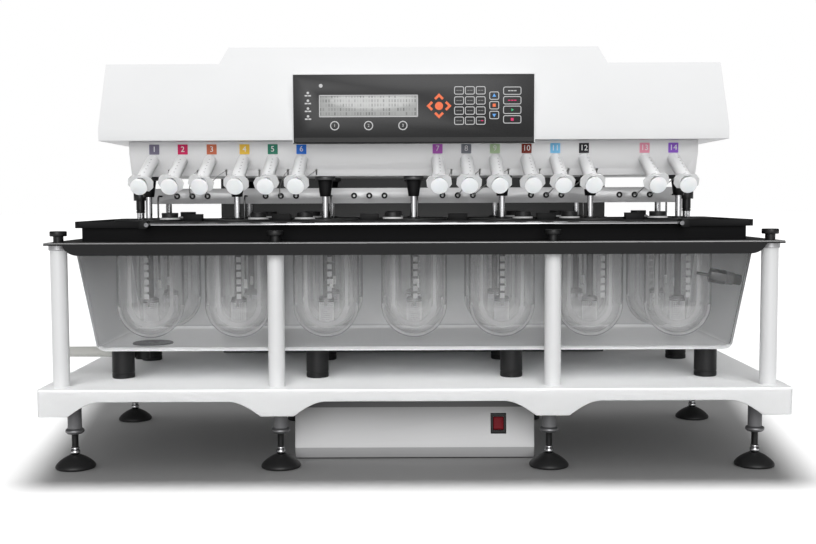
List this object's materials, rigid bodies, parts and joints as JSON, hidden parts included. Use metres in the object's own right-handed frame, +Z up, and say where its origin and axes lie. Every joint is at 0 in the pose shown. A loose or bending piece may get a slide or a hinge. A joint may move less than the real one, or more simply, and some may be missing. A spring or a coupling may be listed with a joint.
{
  "type": "dissolution tester",
  "caption": "Bench dissolution tester: rows of glass vessels with turning baskets hang in a water bath under a drive head that lifts, with a sampling bar and syringes.",
  "frame": {"origin": "on the floor under the middle of the platform", "axes": "+Z up, +X to the right seen from the front, the front faces -Y"},
  "size_m": [1.119, 0.48, 0.644],
  "materials": {
    "white_paint": "satin powder coat",
    "black_paint": "satin powder coat",
    "grey_paint": "satin paint",
    "silver_sheet": "fine brushed sheet",
    "black_plastic": "fine matt",
    "panel_film": "semi-gloss film",
    "display": "glossy window",
    "red_plastic": "glossy",
    "pale_plastic": "smooth moulded",
    "clear_plastic": "clear moulded",
    "white_plastic": "smooth moulded",
    "smoke_plastic": "clear smoky moulding",
    "vessel_glass": "clear polished",
    "rubber": "matt",
    "bright_steel": "polished",
    "turned_steel": "turned and ground",
    "bar_alloy": "grey anodised",
    "frame_alloy": "plain",
    "motor_paint": "satin"
  },
  "bodies": {
    "base": {"base_platform": "white_paint", "levelling_feet": "rubber", "power_box": "silver_sheet", "bath_spacers": "rubber", "support_posts": "white_paint", "thumb_screws": "black_plastic", "water_bath": "smoke_plastic", "bath_sensor": "turned_steel", "drain_pipe": "pale_plastic", "rim_plate": "black_paint", "vessel_plate": "black_plastic", "glass_vessels": "vessel_glass", "front_rail": "bright_steel", "tower_shell": "black_paint", "guide_rods": "turned_steel", "lift_motor": "motor_paint"},
    "head": {"head_cover": "white_paint", "head_frame": "frame_alloy", "syringe_panel": "grey_paint", "spindle_bearings": "black_plastic", "control_panel": "panel_film", "display_screen": "display", "syringe_barrels": "clear_plastic", "drive_motor": "motor_paint", "drive_belt": "rubber", "vessel_covers": "black_plastic", "guide_columns": "black_plastic", "sample_tubes": "pale_plastic"},
    "sampling_bar": {"manifold_bar": "bar_alloy", "cannulas": "bright_steel"},
    "lift_screw": {"lift_screw": "turned_steel"},
    "power_rocker": {"rocker_switch": "red_plastic"},
    "spindle_01": {"spindle_01": "turned_steel"},
    "spindle_02": {"spindle_02": "turned_steel"},
    "spindle_03": {"spindle_03": "turned_steel"},
    "spindle_04": {"spindle_04": "turned_steel"},
    "spindle_05": {"spindle_05": "turned_steel"},
    "spindle_06": {"spindle_06": "turned_steel"},
    "spindle_07": {"spindle_07": "turned_steel"},
    "spindle_08": {"spindle_08": "turned_steel"},
    "spindle_09": {"spindle_09": "turned_steel"},
    "spindle_10": {"spindle_10": "turned_steel"},
    "spindle_11": {"spindle_11": "turned_steel"},
    "spindle_12": {"spindle_12": "turned_steel"},
    "spindle_13": {"spindle_13": "turned_steel"},
    "spindle_14": {"spindle_14": "turned_steel"},
    "plunger_01": {"plunger_01": "white_plastic"},
    "plunger_02": {"plunger_02": "white_plastic"},
    "plunger_03": {"plunger_03": "white_plastic"},
    "plunger_04": {"plunger_04": "white_plastic"},
    "plunger_05": {"plunger_05": "white_plastic"},
    "plunger_06": {"plunger_06": "white_plastic"},
    "plunger_07": {"plunger_07": "white_plastic"},
    "plunger_08": {"plunger_08": "white_plastic"},
    "plunger_09": {"plunger_09": "white_plastic"},
    "plunger_10": {"plunger_10": "white_plastic"},
    "plunger_11": {"plunger_11": "white_plastic"},
    "plunger_12": {"plunger_12": "white_plastic"},
    "plunger_13": {"plunger_13": "white_plastic"},
    "plunger_14": {"plunger_14": "white_plastic"}
  },
  "joints": [
    {"name": "head_lift", "type": "slide", "parent": "base", "child": "head", "axis": [0, 0, 1], "range_m": [0, 0.2]},
    {"name": "lift_screw_turn", "type": "hinge", "parent": "base", "child": "lift_screw", "pos_m": [0, 0.1975, 0.3], "axis": [0, 0, 1], "range_deg": [0, 3600]},
    {"name": "power_rocker_tip", "type": "hinge", "parent": "base", "child": "power_rocker", "pos_m": [0.131, -0.1439, 0.05554], "axis": [1, 0, 0], "range_deg": [0, 16]},
    {"name": "sampling_bar_slide", "type": "slide", "parent": "head", "child": "sampling_bar", "axis": [0, 0, 1], "range_m": [-0.018, 0.012], "deforming": ["sample_tubes"]},
    {"name": "spindle_01_turn", "type": "hinge", "parent": "head", "child": "spindle_01", "pos_m": [-0.42, -0.1, 0.4], "axis": [0, 0, 1], "continuous": true},
    {"name": "spindle_02_turn", "type": "hinge", "parent": "head", "child": "spindle_02", "pos_m": [-0.28, -0.1, 0.4], "axis": [0, 0, 1], "continuous": true},
    {"name": "spindle_03_turn", "type": "hinge", "parent": "head", "child": "spindle_03", "pos_m": [-0.14, -0.1, 0.4], "axis": [0, 0, 1], "continuous": true},
    {"name": "spindle_04_turn", "type": "hinge", "parent": "head", "child": "spindle_04", "pos_m": [0, -0.1, 0.4], "axis": [0, 0, 1], "continuous": true},
    {"name": "spindle_05_turn", "type": "hinge", "parent": "head", "child": "spindle_05", "pos_m": [0.14, -0.1, 0.4], "axis": [0, 0, 1], "continuous": true},
    {"name": "spindle_06_turn", "type": "hinge", "parent": "head", "child": "spindle_06", "pos_m": [0.28, -0.1, 0.4], "axis": [0, 0, 1], "continuous": true},
    {"name": "spindle_07_turn", "type": "hinge", "parent": "head", "child": "spindle_07", "pos_m": [0.42, -0.1, 0.4], "axis": [0, 0, 1], "continuous": true},
    {"name": "spindle_08_turn", "type": "hinge", "parent": "head", "child": "spindle_08", "pos_m": [-0.42, 0.046, 0.4], "axis": [0, 0, 1], "continuous": true},
    {"name": "spindle_09_turn", "type": "hinge", "parent": "head", "child": "spindle_09", "pos_m": [-0.28, 0.046, 0.4], "axis": [0, 0, 1], "continuous": true},
    {"name": "spindle_10_turn", "type": "hinge", "parent": "head", "child": "spindle_10", "pos_m": [-0.14, 0.046, 0.4], "axis": [0, 0, 1], "continuous": true},
    {"name": "spindle_11_turn", "type": "hinge", "parent": "head", "child": "spindle_11", "pos_m": [0, 0.046, 0.4], "axis": [0, 0, 1], "continuous": true},
    {"name": "spindle_12_turn", "type": "hinge", "parent": "head", "child": "spindle_12", "pos_m": [0.14, 0.046, 0.4], "axis": [0, 0, 1], "continuous": true},
    {"name": "spindle_13_turn", "type": "hinge", "parent": "head", "child": "spindle_13", "pos_m": [0.28, 0.046, 0.4], "axis": [0, 0, 1], "continuous": true},
    {"name": "spindle_14_turn", "type": "hinge", "parent": "head", "child": "spindle_14", "pos_m": [0.42, 0.046, 0.4], "axis": [0, 0, 1], "continuous": true},
    {"name": "plunger_01_pull", "type": "slide", "parent": "head", "child": "plunger_01", "axis": [0, -0.9135, -0.4067], "range_m": [0, 0.06]},
    {"name": "plunger_02_pull", "type": "slide", "parent": "head", "child": "plunger_02", "axis": [0, -0.9135, -0.4067], "range_m": [0, 0.06]},
    {"name": "plunger_03_pull", "type": "slide", "parent": "head", "child": "plunger_03", "axis": [0, -0.9135, -0.4067], "range_m": [0, 0.06]},
    {"name": "plunger_04_pull", "type": "slide", "parent": "head", "child": "plunger_04", "axis": [0, -0.9135, -0.4067], "range_m": [0, 0.06]},
    {"name": "plunger_05_pull", "type": "slide", "parent": "head", "child": "plunger_05", "axis": [0, -0.9135, -0.4067], "range_m": [0, 0.06]},
    {"name": "plunger_06_pull", "type": "slide", "parent": "head", "child": "plunger_06", "axis": [0, -0.9135, -0.4067], "range_m": [0, 0.06]},
    {"name": "plunger_07_pull", "type": "slide", "parent": "head", "child": "plunger_07", "axis": [0, -0.9135, -0.4067], "range_m": [0, 0.06]},
    {"name": "plunger_08_pull", "type": "slide", "parent": "head", "child": "plunger_08", "axis": [0, -0.9135, -0.4067], "range_m": [0, 0.06]},
    {"name": "plunger_09_pull", "type": "slide", "parent": "head", "child": "plunger_09", "axis": [0, -0.9135, -0.4067], "range_m": [0, 0.06]},
    {"name": "plunger_10_pull", "type": "slide", "parent": "head", "child": "plunger_10", "axis": [0, -0.9135, -0.4067], "range_m": [0, 0.06]},
    {"name": "plunger_11_pull", "type": "slide", "parent": "head", "child": "plunger_11", "axis": [0, -0.9135, -0.4067], "range_m": [0, 0.06]},
    {"name": "plunger_12_pull", "type": "slide", "parent": "head", "child": "plunger_12", "axis": [0, -0.9135, -0.4067], "range_m": [0, 0.06]},
    {"name": "plunger_13_pull", "type": "slide", "parent": "head", "child": "plunger_13", "axis": [0, -0.9135, -0.4067], "range_m": [0, 0.06]},
    {"name": "plunger_14_pull", "type": "slide", "parent": "head", "child": "plunger_14", "axis": [0, -0.9135, -0.4067], "range_m": [0, 0.06]}
  ],
  "couplings": [
    {"joint": "lift_screw_turn", "follows": "head_lift", "rad_per_m": 314},
    {"joint": "spindle_01_turn", "follows": "spindle_04_turn", "ratio": 1},
    {"joint": "spindle_02_turn", "follows": "spindle_04_turn", "ratio": 1},
    {"joint": "spindle_03_turn", "follows": "spindle_04_turn", "ratio": 1},
    {"joint": "spindle_05_turn", "follows": "spindle_04_turn", "ratio": 1},
    {"joint": "spindle_06_turn", "follows": "spindle_04_turn", "ratio": 1},
    {"joint": "spindle_07_turn", "follows": "spindle_04_turn", "ratio": 1},
    {"joint": "spindle_08_turn", "follows": "spindle_04_turn", "ratio": 1},
    {"joint": "spindle_09_turn", "follows": "spindle_04_turn", "ratio": 1},
    {"joint": "spindle_10_turn", "follows": "spindle_04_turn", "ratio": 1},
    {"joint": "spindle_11_turn", "follows": "spindle_04_turn", "ratio": 1},
    {"joint": "spindle_12_turn", "follows": "spindle_04_turn", "ratio": 1},
    {"joint": "spindle_13_turn", "follows": "spindle_04_turn", "ratio": 1},
    {"joint": "spindle_14_turn", "follows": "spindle_04_turn", "ratio": 1}
  ]
}
